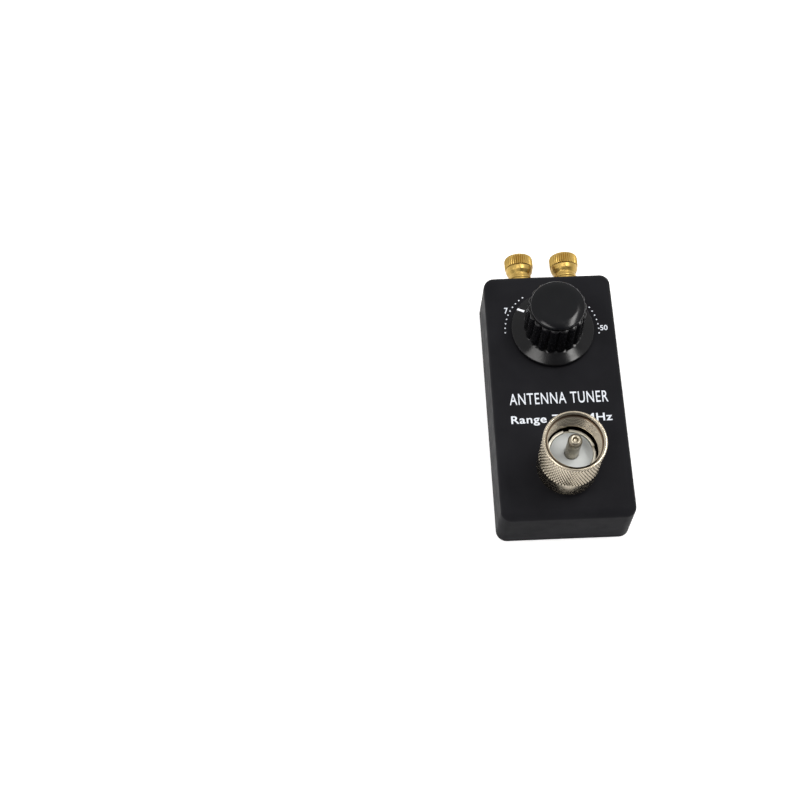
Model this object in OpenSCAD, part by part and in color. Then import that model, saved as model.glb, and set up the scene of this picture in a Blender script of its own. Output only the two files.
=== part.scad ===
// Loop-antenna tuner: plastic box with a UHF plug, a tuning knob and two binding posts.
// Origin at the centre of the base's underside, +Z up through the panel, +Y towards the posts.

/* [Case] */
// Width of the case at its base
case_w = 40; // [38:0.5:44]
// Length of the case at its base
case_l = 80; // [78:0.5:90]
// Height of the case
case_h = 20; // [20:0.5:26]
// How far each wall leans in from base to panel
draft = 0.3; // [0.1:0.1:0.6]
// Thickness of the walls
wall_t = 2; // [1.8:0.1:2.4]
// Thickness of the panel
panel_t = 2; // [1.8:0.1:2.4]
// Rounding of the panel's edges
edge_r = 2.7; // [2:0.1:3]
// Rounding of the corners in plan
corner_r = 3.2; // [3.1:0.1:5]
// Thickness of the base cover
cover_t = 1.8; // [1.5:0.1:2.2]

/* [Tuning knob] */
// Distance of the knob from the case's centre, towards the posts
knob_y = 19.9; // [18:0.1:21]
// Radius of the skirt
skirt_r = 12.5; // [11:0.1:13]
// Height of the knob's grip above the panel
grip_top = 15.6; // [13:0.1:18]
// Height of the knob's cap above the panel
cap_top = 17.3; // [16.9:0.1:17.6]
// Radius of the grip at the crests of its flutes
grip_r = 8.7; // [8:0.1:9]
// Number of flutes round the grip
flutes = 18; // [12:1:24]
// Angle of the pointer at rest, counted from +X
pointer_angle = 146; // [10:0.5:170]

/* [Dial] */
// Radius of the ring of dots
dial_r = 14.3; // [13.5:0.1:15]
// Angle between two dots
dot_step = 6.17; // [5:0.01:8]
// Angle of the first dot beside the high end
high_start = -5; // [-10:1:0]
// Number of dots beside the high end
high_dots = 7; // [3:1:9]
// Angle of the first dot beside the low end
low_start = 124.5; // [115:0.5:130]
// Number of dots beside the low end
low_dots = 10; // [3:1:11]
// Radius of a dot
dot_r = 0.28; // [0.2:0.01:0.4]

/* [UHF plug] */
// Distance of the plug from the case's centre, away from the posts
plug_y = 25.3; // [24:0.1:26]
// Radius of the coupling ring
ring_r = 9; // [8.8:0.1:9.4]
// Height of the coupling ring's lower end above the panel
ring_foot = 1.8; // [1.6:0.1:2]
// Height of the knurl's lower end above the panel
knurl_foot = 10; // [8:0.1:12]
// Height of the coupling ring's rim above the panel
ring_top = 22.7; // [22:0.1:23]
// Radius inside the ring's thread
thread_r = 7.35; // [7.3:0.05:7.5]
// Height of the insulator's face above the panel
insulator_top = 13.5; // [13:0.1:13.6]
// Radius of the centre pin
pin_r = 2; // [1.9:0.05:2]
// Height of the pin's tip above the panel
pin_top = 23.6; // [22.5:0.1:24]

/* [Binding posts] */
// Distance between the two posts
post_pitch = 14.4; // [13:0.1:16]
// Height of the posts above the base
post_z = 10; // [9.5:0.1:10.5]
// Radius of the threaded stud
stud_r = 2; // [1.9:0.05:2]
// Radius of the collar and of the clamp washer
collar_r = 3.75; // [3.5:0.05:4]
// Radius of the thumb nut
nut_r = 4.5; // [4.3:0.1:4.8]
// Length of the thumb nut
nut_l = 7.4; // [7:0.1:7.6]

/* [Coil] */
// Outside radius of the toroid
core_r = 6.35; // [6:0.05:6.4]
// Radius of the toroid's hole
core_bore_r = 3.55; // [3.4:0.05:3.6]
// Thickness of the toroid
core_t = 4.8; // [4:0.1:5]
// Turns of the primary winding
turns = 6; // [3:1:7]

/* [Hidden] */
$fn = 48;
EPS = 0.01;
HULL_FN = 32;
WIRE_SIDES = 10;
SIDES = [-1, 1];

// Case: inside sizes, cover rebate and cover screws
inner_w = case_w - 2 * wall_t;
inner_l = case_l - 2 * wall_t;
inner_top = case_h - panel_t;
inner_corner_r = 1.6;
rebate = 0.8;
rebate_corner_r = 2.2;
cover_corner_r = 2;
cover_gap = 0.15;
foot_ease = 0.4;
screw_post_r = 2.8;
screw_inset = 4.4;
screw_hole_r = 1;
screw_tip_z = 9;
screw_head_r = 2;
screw_head_h = 1.1;

// Knob: clearances to the panel and to the shaft
knob_foot = 0.6;
rim_top = 1.9;
cone_top = 3;
cone_in_r = 9.3;
rim_in_r = skirt_r - 0.2;
flute_r = 1.45;
bush_r = 4.2;
bush_top = 13;
shaft_r = 3;
shaft_top = 12.2;
spindle_r = 1.5;
run_gap = 0.05;
slip_gap = 0.03;
set_screw_r = 1.5;
set_screw_l = 4.2;
set_screw_key_r = 0.75;
set_screw_z = 7;
set_screw_angle = pointer_angle - 90;

// The hollow under the skirt: radii of its mouth and of its flat roof, and its depth
hollow_r = 10.6;
hollow_roof_r = 6;
hollow_side_z = 1.4;
hollow_roof_z = 1.9;
pointer_l = 2.6;
pointer_w = 0.9;
pointer_t = 0.4;
cap_plug_r = 3;
cap_plug_l = 1.5;
cap_edge_r = 1.1;
cap_inset = 0.7;

// Capacitor: a 20 mm square film capacitor, held under the panel
cap_w = 20;
cap_h = 11;
cap_wall = 1;
cap_roof = 1.7;
cap_floor_t = 1;
cap_z = inner_top - cap_h;
collar_out_r = 3.8;
plate_t = 0.4;
plate_pitch = 1.9;
plate_r = 8.2;
plate_count = 4;
cap_screw_x = 6.8;
cap_screw_r = 1.1;
cap_head_r = 2.1;
cap_head_h = 1.1;
rotor_hub_r = 2.4;
stator_rod_r = 0.6;
lug_x = 6;
lug_w = 2.2;
lug_l = 5;
lug_t = 0.4;
lug_face_y = knob_y - cap_w / 2 - lug_t - 0.02;

// Plug: radii and heights above the panel
plug_flange_r = 7.6;
plug_flange_t = 1.3;
neck_r = 6;
tube_foot = 4.8;
tube_r = 6.95;
tube_top = insulator_top + 0.4;
rim_notch_w = 1.7;
rim_notch_d = 1.4;
rim_notch_angle = 8;
stub_r = 5.5;
stub_bore_r = 4;
stub_z = -6.8;
pin_stem_r = 1.6;
pin_foot = insulator_top + 0.1;
seat_r = 6.15;
seat_foot = 9.6;
mid_bore_r = 5;
mid_foot = 2;

// Posts: stations along +Y from the end wall outwards
wall_y = case_l / 2;
collar_y = wall_y - 0.05;
washer_y = wall_y + 2.8;
washer_t = 0.8;
nut_y = wall_y + 3.65;
stud_in_y = wall_y - 7.6;
stud_out_y = wall_y + 10.2;
wall_in_y = wall_y - wall_t;
hex_af = 7;
hex_l = 3.1;
tag_t = 0.5;

// Coil and wires
core_y = -1.5;
core_z = 9;
enamel_r = 0.35;
tail_r = 0.33;
lead_r = 0.6;
turn_step = 24;
bend_r = 0.6;

// ---- Helpers ----

// A flat rectangle with rounded corners, centred on the origin
module rounded_rect(w, l, r) {
    union() {
        square([w - 2 * r, l], center = true);
        square([w, l - 2 * r], center = true);
        for (x = SIDES, y = SIDES)
            translate([x * (w / 2 - r), y * (l / 2 - r)]) circle(r);
    }
}

module at_corners(dx, dy) {
    for (x = SIDES, y = SIDES) translate([x * dx, y * dy, 0]) children();
}

// Moves to the panel's outer face at distance y along the case
module on_panel(y) {
    translate([0, y, case_h]) children();
}

// Stands a shape that points along +Z on a post's axis, pointing along +Y
module on_post(side, y) {
    translate([side * post_pitch / 2, y, post_z]) rotate([-90, 0, 0]) children();
}

// A cylinder with a bore right through it
module tube(r_out, r_in, h) {
    difference() {
        cylinder(r = r_out, h = h);
        translate([0, 0, -EPS]) cylinder(r = r_in, h = h + 2 * EPS);
    }
}

// A countersunk screw with its head's top at z = 0, pointing down
module countersunk_screw(head_r, head_h, shank_r, length) {
    slot = head_r * 0.35;
    difference() {
        union() {
            translate([0, 0, -head_h]) cylinder(r1 = shank_r, r2 = head_r, h = head_h);
            translate([0, 0, -length]) cylinder(r = shank_r, h = length - head_h + EPS);
        }
        for (a = [0, 90]) rotate([0, 0, a])
            cube([head_r * 1.3, slot, head_h], center = true);
    }
}

// Room for a countersunk head whose top lies at z = 0, pointing down
module countersink(head_r, hole_r, depth) {
    translate([0, 0, -depth]) cylinder(r1 = hole_r, r2 = head_r, h = depth + EPS);
}

function unit(v) = v / norm(v);

// A route with its corners cut at a quarter and at three quarters of each stretch
function cut_corners(route) = concat(
    [route[0]],
    [for (i = [0 : len(route) - 2]) each [0.75 * route[i] + 0.25 * route[i + 1],
        0.25 * route[i] + 0.75 * route[i + 1]]],
    [route[len(route) - 1]]);

// The direction of a route at its point i
function heading(route, i) =
    unit(route[min(i + 1, len(route) - 1)] - route[max(i - 1, 0)]);

// The points round a wire at point i of its route; across is a direction that the route never takes
function wire_ring(route, i, r, across) =
    let (u = unit(cross(heading(route, i), across)), v = cross(heading(route, i), u))
    [for (k = [0 : WIRE_SIDES - 1]) let (a = 360 * k / WIRE_SIDES)
        route[i] + r * (cos(a) * u + sin(a) * v)];

// A round wire along a route with its bends eased
module wire(points, r, across) {
    route = cut_corners(cut_corners(points));
    last = len(route) - 1;
    polyhedron(
        points = [for (i = [0 : last]) each wire_ring(route, i, r, across)],
        faces = concat(
            [[for (k = [0 : WIRE_SIDES - 1]) k]],
            [for (i = [0 : last - 1], k = [0 : WIRE_SIDES - 1])
                let (a = i * WIRE_SIDES + k, b = i * WIRE_SIDES + (k + 1) % WIRE_SIDES)
                [a, a + WIRE_SIDES, b + WIRE_SIDES, b]],
            [[for (k = [WIRE_SIDES - 1 : -1 : 0]) last * WIRE_SIDES + k]]));
}

// ---- Case ----

module case_outer() {
    hull() {
        at_corners(case_w / 2 - corner_r, case_l / 2 - corner_r) {
            cylinder(r1 = corner_r - foot_ease, r2 = corner_r, h = foot_ease, $fn = HULL_FN);
        }
        at_corners(case_w / 2 - draft - corner_r, case_l / 2 - draft - corner_r) {
            translate([0, 0, case_h - edge_r]) rotate_extrude($fn = HULL_FN)
                intersection() {
                    translate([corner_r - edge_r, 0]) circle(edge_r, $fn = HULL_FN);
                    square([corner_r, edge_r]);
                }
        }
    }
}

// Bosses under the panel that take the cover screws
module screw_posts() {
    at_corners(case_w / 2 - screw_inset, case_l / 2 - screw_inset) {
        difference() {
            translate([0, 0, cover_t]) cylinder(r = screw_post_r, h = inner_top - cover_t + 0.5);
            cylinder(r = screw_hole_r, h = screw_tip_z + 1);
        }
    }
}

module case_shell() {
    color([0.14, 0.14, 0.15])
    difference() {
        union() {
            difference() {
                case_outer();
                translate([0, 0, cover_t - EPS])
                    linear_extrude(inner_top - cover_t + EPS)
                        rounded_rect(inner_w, inner_l, inner_corner_r);
                translate([0, 0, -1])
                    linear_extrude(cover_t + 1)
                        rounded_rect(inner_w + 2 * rebate, inner_l + 2 * rebate, rebate_corner_r);
            }
            screw_posts();
        }
        translate([0, knob_y, inner_top - 1]) cylinder(r = collar_out_r + 0.1, h = panel_t + 2);
        for (s = SIDES) translate([s * cap_screw_x, knob_y, case_h]) {
            translate([0, 0, -panel_t - 1]) cylinder(r = cap_screw_r + 0.3, h = panel_t + 2);
            countersink(cap_head_r + 0.3, cap_screw_r, cap_head_h + 0.1);
        }
        translate([0, -plug_y, inner_top - 1]) cylinder(r = stub_r + 0.1, h = panel_t + 2);
        for (s = SIDES) on_post(s, wall_in_y - 1) cylinder(r = stud_r + 0.15, h = wall_t + 2);
    }
}

module base_cover() {
    plate_w = inner_w + 2 * (rebate - cover_gap);
    plate_l = inner_l + 2 * (rebate - cover_gap);
    color([0.16, 0.16, 0.17])
    difference() {
        linear_extrude(cover_t - 0.05) rounded_rect(plate_w, plate_l, cover_corner_r);
        at_corners(case_w / 2 - screw_inset, case_l / 2 - screw_inset) {
            translate([0, 0, -1]) cylinder(r = screw_hole_r + 0.15, h = cover_t + 2);
            rotate([180, 0, 0]) countersink(screw_head_r + 0.2, screw_hole_r, screw_head_h + 0.2);
        }
    }
}

module cover_screws() {
    color([0.3, 0.3, 0.32])
    at_corners(case_w / 2 - screw_inset, case_l / 2 - screw_inset)
        translate([0, 0, 0.1]) rotate([180, 0, 0])
            countersunk_screw(screw_head_r, screw_head_h, screw_hole_r - 0.05, screw_tip_z);
}

function dot_angles(start, count) = [for (i = [0 : count - 1]) start + dot_step * i];

// Two arcs of dots; none are printed between them
module dial_print() {
    ink_t = 0.06;
    color([0.86, 0.88, 0.9])
    for (angle = concat(dot_angles(high_start, high_dots), dot_angles(low_start, low_dots)))
        on_panel(knob_y) rotate([0, 0, angle]) translate([dial_r, 0, 0]) cylinder(r = dot_r, h = ink_t);
}

// ---- Tuning knob ----

// The pointer line's place on the skirt's cone; grow widens the pocket it lies in
module pointer_bar(grow) {
    slope = atan2(cone_top - rim_top, rim_in_r - cone_in_r);
    mid_r = (rim_in_r + cone_in_r) / 2;
    rotate([0, 0, pointer_angle])
        translate([mid_r, 0, (rim_top + cone_top) / 2])
            rotate([0, slope, 0])
                cube([pointer_l + grow, pointer_w + grow, pointer_t + grow], center = true);
}

// Lays a shape that points along +Z on the set screw's axis, pointing outwards
module set_screw_axis() {
    translate([0, 0, set_screw_z]) rotate([0, 90, set_screw_angle]) children();
}

// The grip's outline: convex flutes round a core
module grip_outline() {
    union() {
        circle(grip_r - 1);
        for (i = [0 : flutes - 1])
            rotate(360 * i / flutes) translate([grip_r - flute_r, 0]) circle(flute_r);
    }
}

module knob_body() {
    color([0.08, 0.08, 0.09])
    on_panel(knob_y)
    difference() {
        union() {
            rotate_extrude() polygon([[0, knob_foot], [rim_in_r, knob_foot], [skirt_r, knob_foot + 0.2],
                [skirt_r, rim_top - 0.2], [rim_in_r, rim_top], [cone_in_r, cone_top], [0, cone_top]]);
            translate([0, 0, cone_top - 0.5]) linear_extrude(grip_top - cone_top + 0.5) grip_outline();
        }
        translate([0, 0, -1]) cylinder(r = bush_r + slip_gap, h = bush_top + 1 + slip_gap);
        translate([0, 0, grip_top - cap_plug_l - 0.1]) cylinder(r = cap_plug_r + 0.1, h = cap_plug_l + 1);
        rotate_extrude() polygon([[0, -1], [hollow_r, -1], [hollow_r, hollow_side_z],
            [hollow_roof_r, hollow_roof_z], [0, hollow_roof_z]]);
        set_screw_axis() cylinder(r = set_screw_r + 0.05, h = skirt_r);
        pointer_bar(0.04);
    }
}

module knob_cap() {
    disc_r = grip_r - cap_inset;
    edge_centre = [disc_r - cap_edge_r, cap_top - 0.1 - cap_edge_r];
    color([0.1, 0.1, 0.11])
    on_panel(knob_y)
        rotate_extrude()
            polygon(concat(
                [[0, grip_top - cap_plug_l], [cap_plug_r, grip_top - cap_plug_l],
                    [cap_plug_r, grip_top + 0.05], [disc_r, grip_top + 0.05]],
                [for (a = [0 : 15 : 90]) edge_centre + cap_edge_r * [cos(a), sin(a)]],
                [[0, cap_top]]));
}

module knob_bush() {
    bush_foot = hollow_roof_z + 0.1;
    color([0.8, 0.66, 0.36])
    on_panel(knob_y)
    difference() {
        translate([0, 0, bush_foot]) tube(bush_r, shaft_r + slip_gap, bush_top - bush_foot);
        set_screw_axis() cylinder(r = set_screw_r + slip_gap, h = skirt_r);
    }
}

module knob_set_screw() {
    color([0.25, 0.25, 0.27])
    on_panel(knob_y) set_screw_axis()
    difference() {
        translate([0, 0, shaft_r - 0.35]) cylinder(r = set_screw_r, h = set_screw_l);
        translate([0, 0, shaft_r + set_screw_l / 2])
            cylinder(r = set_screw_key_r, h = set_screw_l, $fn = 6);
    }
}

module pointer_mark() {
    color([0.93, 0.94, 0.96])
    on_panel(knob_y) pointer_bar(0);
}

// ---- Tuning capacitor ----

module capacitor_housing() {
    color([0.85, 0.86, 0.84])
    translate([0, knob_y, 0])
    difference() {
        translate([-cap_w / 2, -cap_w / 2, cap_z]) cube([cap_w, cap_w, cap_h]);
        translate([-cap_w / 2 + cap_wall, -cap_w / 2 + cap_wall, cap_z - 1])
            cube([cap_w - 2 * cap_wall, cap_w - 2 * cap_wall, cap_h + 1 - cap_roof]);
        translate([0, 0, inner_top - 2 * cap_roof]) cylinder(r = collar_out_r + slip_gap, h = 3 * cap_roof);
        for (s = SIDES) translate([s * cap_screw_x, 0, inner_top - 2 * cap_roof])
            cylinder(r = cap_screw_r + 0.08, h = 3 * cap_roof);
    }
}

module capacitor_base() {
    color([0.82, 0.8, 0.7])
    translate([0, knob_y, cap_z - cap_floor_t])
    difference() {
        translate([-cap_w / 2, -cap_w / 2, 0]) cube([cap_w, cap_w, cap_floor_t]);
        translate([0, 0, -1]) cylinder(r = spindle_r + run_gap, h = cap_floor_t + 2);
    }
}

module capacitor_collar() {
    color([0.8, 0.66, 0.36])
    translate([0, knob_y, inner_top - cap_roof + 0.05])
        tube(collar_out_r, shaft_r + run_gap, cap_roof + panel_t + 0.4);
}

module capacitor_shaft() {
    color([0.75, 0.75, 0.77])
    translate([0, knob_y, 0])
    difference() {
        union() {
            translate([0, 0, cap_z - cap_floor_t - 0.3]) cylinder(r = spindle_r, h = cap_h);
            translate([0, 0, inner_top - cap_roof])
                cylinder(r = shaft_r, h = case_h + shaft_top - inner_top + cap_roof);
        }
        rotate([0, 0, set_screw_angle]) translate([shaft_r - 0.4, -shaft_r, case_h + 2])
            cube([shaft_r, 2 * shaft_r, shaft_top]);
    }
}

// Heights of the plates: the rotor's, then the stator's halfway between them
function rotor_z(i) = cap_z + 1.4 + i * plate_pitch;
function stator_z(i) = rotor_z(i) + plate_pitch / 2;

module rotor_plates() {
    color([0.7, 0.72, 0.74])
    translate([0, knob_y, 0]) rotate([0, 0, pointer_angle + 90])
    for (i = [0 : plate_count - 1]) translate([0, 0, rotor_z(i)])
        difference() {
            union() {
                cylinder(r = rotor_hub_r, h = plate_t);
                rotate([0, 0, -90]) rotate_extrude(angle = 180) square([plate_r, plate_t]);
            }
            translate([0, 0, -1]) cylinder(r = spindle_r + slip_gap, h = 3);
        }
}

module stator_plates() {
    edge = cap_w / 2 - cap_wall - 0.4;
    color([0.72, 0.74, 0.76])
    translate([0, knob_y, 0]) {
        for (i = [0 : plate_count - 2]) translate([0, 0, stator_z(i)])
            difference() {
                translate([-edge, -edge, 0]) cube([2 * edge, edge - 0.6, plate_t]);
                translate([0, 0, -1]) cylinder(r = spindle_r + 1.7, h = 3);
            }
        for (s = SIDES) translate([s * (edge - 0.7), 0.7 - edge, cap_z + 0.05])
            cylinder(r = stator_rod_r, h = cap_h - cap_roof - 0.1);
    }
}

module capacitor_lugs() {
    color([0.8, 0.8, 0.78])
    for (i = [-1 : 1]) translate([i * lug_x, lug_face_y, cap_z - lug_l / 2])
        difference() {
            translate([-lug_w / 2, 0, 0]) cube([lug_w, lug_t, lug_l]);
            translate([0, -1, lug_w / 2]) rotate([-90, 0, 0]) cylinder(r = 0.5, h = 3);
        }
}

module capacitor_screws() {
    color([0.7, 0.7, 0.72])
    for (s = SIDES) translate([s * cap_screw_x, knob_y, case_h - 0.15])
        countersunk_screw(cap_head_r, cap_head_h, cap_screw_r, panel_t + 1.5);
}

// ---- UHF plug ----

module plug_body() {
    color([0.75, 0.72, 0.66])
    on_panel(-plug_y)
    difference() {
        rotate_extrude() polygon([
            [stub_bore_r, stub_z], [stub_r, stub_z], [stub_r, 0], [plug_flange_r, 0],
            [plug_flange_r, plug_flange_t], [neck_r, plug_flange_t], [neck_r, tube_foot],
            [tube_r, tube_foot], [tube_r, tube_top], [seat_r, tube_top],
            [seat_r, seat_foot], [mid_bore_r, seat_foot], [mid_bore_r, mid_foot], [stub_bore_r, mid_foot]]);
        for (i = [0 : 3]) rotate([0, 0, rim_notch_angle + 90 * i])
            translate([seat_r - 1, -rim_notch_w / 2, tube_top - rim_notch_d])
                cube([3, rim_notch_w, rim_notch_d + 1]);
    }
}

// A smooth band that swells towards its foot, with the knurled length above it
module coupling_ring() {
    foot_r = ring_r - 0.8;
    band_foot_r = ring_r - 0.1;
    band_top_r = ring_r - 0.7;
    undercut_r = thread_r + 0.6;
    shoulder_top = ring_foot + 2.6;
    thread_foot = ring_top - 8.2;
    color([0.82, 0.77, 0.68])
    on_panel(-plug_y)
        rotate_extrude() polygon([
            [neck_r + 0.08, ring_foot], [foot_r, ring_foot], [band_foot_r, ring_foot + 1.2],
            [band_foot_r, ring_foot + 2.2], [band_top_r, knurl_foot - 0.3], [ring_r, knurl_foot],
            [ring_r, ring_top - 0.5], [ring_r - 0.4, ring_top],
            [undercut_r, ring_top], [thread_r, ring_top - 0.6], [thread_r, thread_foot],
            [undercut_r, thread_foot - 0.5], [undercut_r, shoulder_top], [neck_r + 0.08, shoulder_top]]);
}

module plug_insulator() {
    gap = 0.05;
    color([0.86, 0.88, 0.88])
    on_panel(-plug_y)
        rotate_extrude() polygon([
            [pin_stem_r + slip_gap, stub_z + 2.8], [stub_bore_r - gap, stub_z + 2.8],
            [stub_bore_r - gap, mid_foot + gap], [mid_bore_r - gap, mid_foot + gap],
            [mid_bore_r - gap, seat_foot + gap], [seat_r - gap, seat_foot + gap],
            [seat_r - gap, insulator_top], [pin_stem_r + slip_gap, insulator_top]]);
}

// The pin's stem goes down through the insulator; its contact stands above it
module centre_pin() {
    tip = 1.2;
    color([0.78, 0.76, 0.7])
    on_panel(-plug_y)
    difference() {
        union() {
            translate([0, 0, stub_z]) cylinder(r = pin_stem_r, h = pin_foot + EPS - stub_z);
            translate([0, 0, pin_foot]) cylinder(r = pin_r, h = pin_top - tip - pin_foot);
            translate([0, 0, pin_top - tip - EPS]) cylinder(r1 = pin_r, r2 = pin_r - 0.9, h = tip + EPS);
        }
        translate([0, 0, pin_top - 1.4]) cylinder(r1 = 0.3, r2 = 0.8, h = 1.4 + EPS);
    }
}

module plug_lock_nut() {
    hex_r = 9.2;
    color([0.72, 0.7, 0.66])
    on_panel(-plug_y) translate([0, 0, -panel_t - 3.6])
    difference() {
        cylinder(r = hex_r, h = 3, $fn = 6);
        translate([0, 0, -1]) cylinder(r = stub_r + slip_gap, h = 5);
    }
}

module ground_tag() {
    color([0.78, 0.76, 0.7])
    on_panel(-plug_y) translate([0, 0, -panel_t - tag_t - 0.02])
    difference() {
        union() {
            cylinder(r = plug_flange_r, h = tag_t);
            translate([-1.6, 0, 0]) cube([3.2, 12, tag_t]);
        }
        translate([0, 0, -1]) cylinder(r = stub_r + 0.1, h = 3);
        translate([0, 10.5, -1]) cylinder(r = 0.8, h = 3);
    }
}

// ---- Binding posts ----

module post_studs() {
    color([0.8, 0.68, 0.4])
    for (s = SIDES) {
        on_post(s, stud_in_y) cylinder(r = stud_r, h = stud_out_y - stud_in_y);
        on_post(s, collar_y) cylinder(r = collar_r, h = washer_y - 0.05 - collar_y);
    }
}

module solder_tags() {
    color([0.78, 0.76, 0.7])
    for (s = SIDES) on_post(s, wall_in_y - tag_t - 0.02)
        difference() {
            union() {
                cylinder(r = 3.6, h = tag_t);
                translate([-1.4, 0, 0]) cube([2.8, 7, tag_t]);
            }
            translate([0, 0, -1]) cylinder(r = stud_r + 0.1, h = 3);
            translate([0, 5.6, -1]) cylinder(r = 0.7, h = 3);
        }
}

module post_lock_washers() {
    washer_h = 0.7;
    color([0.6, 0.6, 0.62])
    for (s = SIDES) on_post(s, wall_in_y - 0.6 - washer_h)
        difference() {
            tube(3.4, stud_r + 0.12, washer_h);
            translate([0, -0.3, -1]) cube([5, 0.6, 3]);
        }
}

module post_nuts() {
    color([0.8, 0.68, 0.4])
    for (s = SIDES) on_post(s, wall_in_y - 1.4 - hex_l)
        difference() {
            cylinder(r = hex_af / sqrt(3), h = hex_l, $fn = 6);
            translate([0, 0, -1]) cylinder(r = stud_r + slip_gap, h = hex_l + 2);
        }
}

module clamp_washer(side) {
    color([0.82, 0.7, 0.42])
    on_post(side, washer_y) tube(collar_r, stud_r + run_gap, washer_t);
}

module clamp_washer_left() {
    clamp_washer(-1);
}

module clamp_washer_right() {
    clamp_washer(1);
}

// Profile of the nut from its hub outwards: hub ring, waist, cone, groove, knurled head
module thumb_nut(side) {
    bore = stud_r + run_gap;
    head_foot = nut_l - 3.8;
    color([0.82, 0.7, 0.42])
    on_post(side, nut_y)
        rotate_extrude() polygon(concat(
            [[bore, 0], [3.5, 0], [3.6, 0.4], [3.5, 0.8], [3.25, 1.1], [4.1, head_foot - 0.5],
            [3.9, head_foot - 0.3], [3.9, head_foot], [nut_r, head_foot + 0.1]],
            [for (a = [0 : 15 : 90]) [nut_r - 1 + cos(a), nut_l - 1 + sin(a)]],
            [[bore, nut_l]]));
}

module thumb_nut_left() {
    thumb_nut(-1);
}

module thumb_nut_right() {
    thumb_nut(1);
}

// ---- Coil and wires ----

module toroid_core() {
    color([0.3, 0.3, 0.32])
    translate([-core_t / 2, core_y, core_z]) rotate([0, 90, 0])
        tube(core_r, core_bore_r, core_t);
}

// One turn: a rounded rectangle of square wire round the core's section, at angle a round the core
module winding_turn(a) {
    gap = 0.05;
    section_w = core_r - core_bore_r + 2 * gap;
    section_t = core_t + 2 * gap;
    wire_t = 2 * enamel_r;
    translate([0, core_y, core_z]) rotate([a, 0, 0])
        translate([0, (core_r + core_bore_r) / 2, -enamel_r])
            linear_extrude(wire_t) difference() {
                rounded_rect(section_t + 2 * wire_t, section_w + 2 * wire_t, bend_r);
                square([section_t, section_w], center = true);
            }
}

module primary_winding() {
    first = 180 - turn_step * (turns - 1) / 2;
    last = first + turn_step * (turns - 1);
    out_r = core_r + 2 * enamel_r + 0.07;
    pin_end = [0, -plug_y, case_h + stub_z - 0.05];
    tag_end = [0, 10.5 - plug_y, inner_top - 0.6];
    from_first = [0, core_y + out_r * cos(first), core_z + out_r * sin(first)];
    from_last = [0, core_y + out_r * cos(last), core_z + out_r * sin(last)];
    color([0.72, 0.36, 0.2]) {
        for (i = [0 : turns - 1]) winding_turn(first + turn_step * i);
        wire([from_first, [0, -9.5, 16.2], tag_end], tail_r, [1, 0, 0]);
        wire([from_last, [0, -11, 3.4], [0, -21, 5], [0, -plug_y, 8], pin_end], tail_r, [1, 0, 0]);
    }
}

module left_lead() {
    color([0.7, 0.1, 0.1])
    wire([[-lug_x, lug_face_y - 0.05, 8.4], [-lug_x, 8, 8.4], [-9, 6.5, 9], [-13.5, 11, 8],
        [-13.5, 28, 5], [-12, 34, 4.2], [-post_pitch / 2, wall_in_y - 1.2, 4.2]], lead_r, [0, 0, 1]);
}

module loop_lead() {
    color([0.1, 0.1, 0.1])
    wire([[0, lug_face_y - 0.05, 5.5], [0, 7.5, 5.5], [-4, 6, 5.5], [-8, 2.5, 8], [-7, core_y, core_z],
        [7, core_y, core_z], [13.5, 5, 7], [13.5, 28, 5], [12, 34, 4.2],
        [post_pitch / 2, wall_in_y - 1.2, 4.2]], lead_r, [0, 0, 1]);
}

case_shell();
base_cover();
cover_screws();
dial_print();
knob_body();
knob_cap();
knob_bush();
knob_set_screw();
pointer_mark();
capacitor_housing();
capacitor_base();
capacitor_collar();
capacitor_shaft();
rotor_plates();
stator_plates();
capacitor_lugs();
capacitor_screws();
plug_body();
coupling_ring();
plug_insulator();
centre_pin();
plug_lock_nut();
ground_tag();
post_studs();
solder_tags();
post_lock_washers();
post_nuts();
clamp_washer_left();
clamp_washer_right();
thumb_nut_left();
thumb_nut_right();
toroid_core();
primary_winding();
left_lead();
loop_lead();
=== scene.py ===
"""The looks of the antenna tuner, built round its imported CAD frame.

Shapes are drawn in millimetres about their own axis and placed in the frame in metres.
"""

import math

import bmesh
import bpy
from mathutils import Matrix, Vector


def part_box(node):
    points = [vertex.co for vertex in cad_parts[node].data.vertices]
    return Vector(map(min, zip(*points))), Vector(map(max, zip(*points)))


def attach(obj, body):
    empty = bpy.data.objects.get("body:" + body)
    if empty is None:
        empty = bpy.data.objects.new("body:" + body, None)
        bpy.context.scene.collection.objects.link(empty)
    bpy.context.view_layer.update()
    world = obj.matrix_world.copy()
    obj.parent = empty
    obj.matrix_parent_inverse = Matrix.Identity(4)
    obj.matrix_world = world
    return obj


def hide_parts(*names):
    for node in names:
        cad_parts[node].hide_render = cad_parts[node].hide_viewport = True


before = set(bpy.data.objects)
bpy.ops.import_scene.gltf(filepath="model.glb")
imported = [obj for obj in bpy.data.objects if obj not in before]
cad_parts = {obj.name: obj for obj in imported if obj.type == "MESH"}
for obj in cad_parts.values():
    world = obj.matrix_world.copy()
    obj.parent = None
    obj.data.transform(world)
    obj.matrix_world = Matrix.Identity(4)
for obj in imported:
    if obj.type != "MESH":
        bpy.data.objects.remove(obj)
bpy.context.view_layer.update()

scene = bpy.context.scene

MM = 0.001
MICRON = 0.000001
TURN = 2 * math.pi


# ---- Places, from the frame ----

def low(node):
    """The low corner of a CAD node's box"""
    return Vector(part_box(node)[0])


def high(node):
    """The high corner of a CAD node's box"""
    return Vector(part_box(node)[1])


def middle(node):
    return (low(node) + high(node)) / 2


PANEL_Z = high("case_shell").z
KNOB = Vector((middle("knob_cap").x, middle("knob_cap").y, PANEL_Z))
PLUG = Vector((middle("plug_insulator").x, middle("plug_insulator").y, PANEL_Z))
WALL_Y = high("case_shell").y
POSTS = {side: Vector((middle(f"clamp_washer_{side}").x, WALL_Y, middle(f"clamp_washer_{side}").z))
         for side in ("left", "right")}


# ---- Camera ----

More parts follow.
